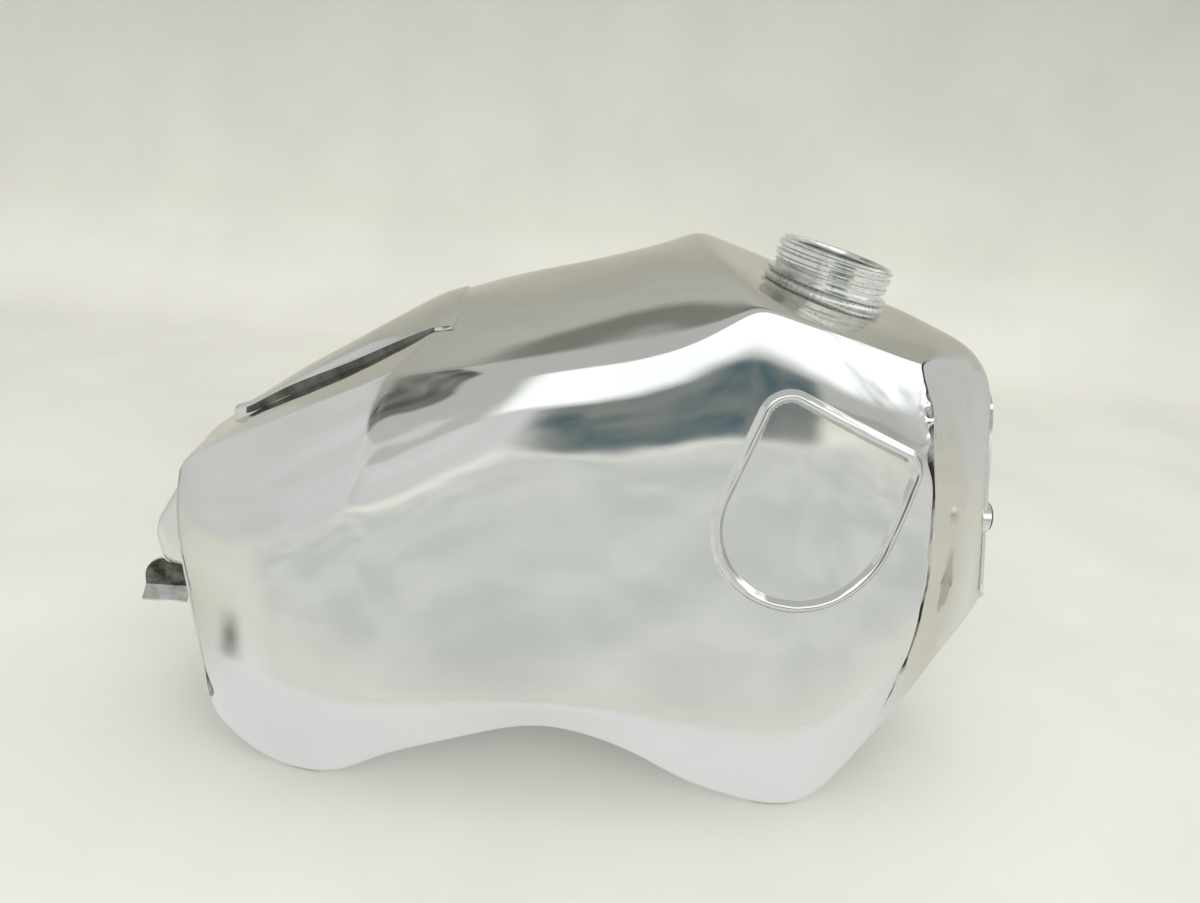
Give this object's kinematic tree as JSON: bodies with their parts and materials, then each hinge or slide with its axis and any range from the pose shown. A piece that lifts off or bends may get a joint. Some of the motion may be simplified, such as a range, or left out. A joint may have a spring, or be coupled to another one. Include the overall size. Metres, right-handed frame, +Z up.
{
  "type": "motorcycle fuel tank",
  "caption": "Hand-formed polished aluminium saddle fuel tank with a frame tunnel, a threaded filler neck, front rubber mounts and rear strap hooks.",
  "frame": {"origin": "on the mirror plane, under the middle of the tank's length, on the plane its lobes rest on", "axes": "+X to the front of the motorcycle, +Y to its left, +Z up"},
  "size_m": [0.4829, 0.2316, 0.3085],
  "materials": {
    "polished_aluminium": "mirror polished, slightly wavy hand-formed sheet",
    "brushed_aluminium": "satin, as formed, inside the tunnel",
    "machined_aluminium": "turned, with fine circular tool marks",
    "weld_aluminium": "dull rippled weld",
    "hook_plate": "bent plate, sheared edges, light scratches",
    "rubber": "matt black"
  },
  "bodies": {
    "root": {"right_side_shell": "polished_aluminium", "left_side_shell": "polished_aluminium", "right_nose_panel": "polished_aluminium", "left_nose_panel": "polished_aluminium", "right_lobe_floor": "polished_aluminium", "left_lobe_floor": "polished_aluminium", "right_tunnel_wall": "brushed_aluminium", "left_tunnel_wall": "brushed_aluminium", "tunnel_roof": "brushed_aluminium", "rear_end_panel": "polished_aluminium", "front_end_panel": "polished_aluminium", "rear_tail_pan": "polished_aluminium", "seat_tail_panel": "polished_aluminium", "right_badge_bead": "polished_aluminium", "left_badge_bead": "polished_aluminium", "filler_neck": "machined_aluminium", "neck_weld_bead": "weld_aluminium", "petcock_boss": "machined_aluminium", "right_mount_cup": "machined_aluminium", "left_mount_cup": "machined_aluminium", "right_mount_bush": "rubber", "left_mount_bush": "rubber", "right_rear_hook": "hook_plate", "left_rear_hook": "hook_plate"}
  },
  "joints": []
}
